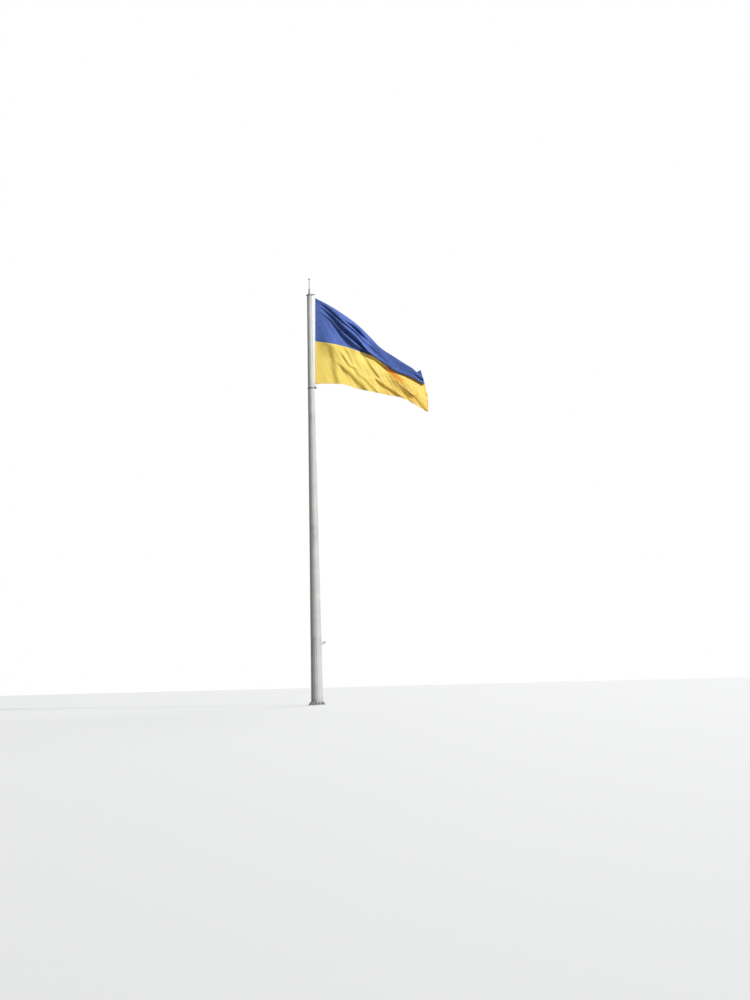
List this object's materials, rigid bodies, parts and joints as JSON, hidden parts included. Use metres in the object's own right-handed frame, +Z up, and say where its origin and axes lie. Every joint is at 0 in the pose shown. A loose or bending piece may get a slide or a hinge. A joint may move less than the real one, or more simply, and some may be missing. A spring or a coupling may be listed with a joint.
{
  "type": "tall flagpole with a turning head and a flag",
  "caption": "Tall tapered many-sided steel flagpole in slip-jointed sections, with a turning head, warning lamp, foot collar, floodlight and a two-stripe flag streaming from it.",
  "frame": {"origin": "centre of the base flange's underside, on the mast axis, on the foundation", "axes": "+Z up the mast, +X the way the flag flies at rest, the service door on the -X side"},
  "size_m": [11.1723, 2.0639, 38.5063],
  "materials": {
    "galvanised_shell": "dull weathered zinc with faint spangle and streaks",
    "galvanised_plate": "dull weathered zinc",
    "galvanised_fittings": "dull zinc",
    "dark_ring": "dark coat, satin",
    "grey_casting": "satin casting",
    "white_casting": "white powder coat",
    "bearing_plastic": "dark sliding plastic",
    "stainless": "satin",
    "wire_rope": "stranded, dull",
    "red_lens": "red, glossy",
    "clear_glass": "clear",
    "blue_cloth": "woven synthetic, slightly sheer",
    "yellow_cloth": "woven synthetic, slightly sheer"
  },
  "bodies": {
    "mast": {"base_flange": "galvanised_plate", "base_gussets": "galvanised_plate", "mast_section_1": "galvanised_shell", "mast_section_2": "galvanised_shell", "mast_section_3": "galvanised_shell", "mast_section_4": "galvanised_shell", "door_frame": "galvanised_plate", "service_door": "galvanised_shell", "door_hinges": "galvanised_fittings", "door_locks": "galvanised_fittings", "earthing_lug": "galvanised_fittings", "slip_lugs_1": "galvanised_fittings", "slip_lugs_2": "galvanised_fittings", "slip_lugs_3": "galvanised_fittings", "head_plate": "galvanised_plate", "slide_ring": "bearing_plastic", "spindle": "galvanised_plate", "rod_socket": "galvanised_plate", "rod_ferrule": "galvanised_plate", "light_mast": "galvanised_plate", "obstruction_light_base": "grey_casting", "obstruction_light_lens": "red_lens", "obstruction_light_cap": "grey_casting", "collar_track": "dark_ring", "floodlight_bracket": "galvanised_fittings", "floodlight_yoke": "galvanised_fittings", "floodlight_housing": "white_casting", "floodlight_glass": "clear_glass"},
    "turning_head": {"truck_disc": "galvanised_plate", "truck_housing": "galvanised_plate", "truck_arm": "galvanised_plate", "tip_sheave": "bearing_plastic", "sheave_pin": "stainless", "halyard": "wire_rope", "snap_hooks": "stainless", "collar_half_1": "dark_ring", "collar_half_2": "dark_ring", "collar_ears": "dark_ring", "collar_bracket": "dark_ring", "tack_swivel": "stainless", "flag_upper_band": "blue_cloth", "flag_lower_band": "yellow_cloth"}
  },
  "joints": [
    {"name": "head_turn", "type": "hinge", "parent": "mast", "child": "turning_head", "pos_m": [0, 0, 36.9], "axis": [0, 0, 1], "continuous": true}
  ]
}
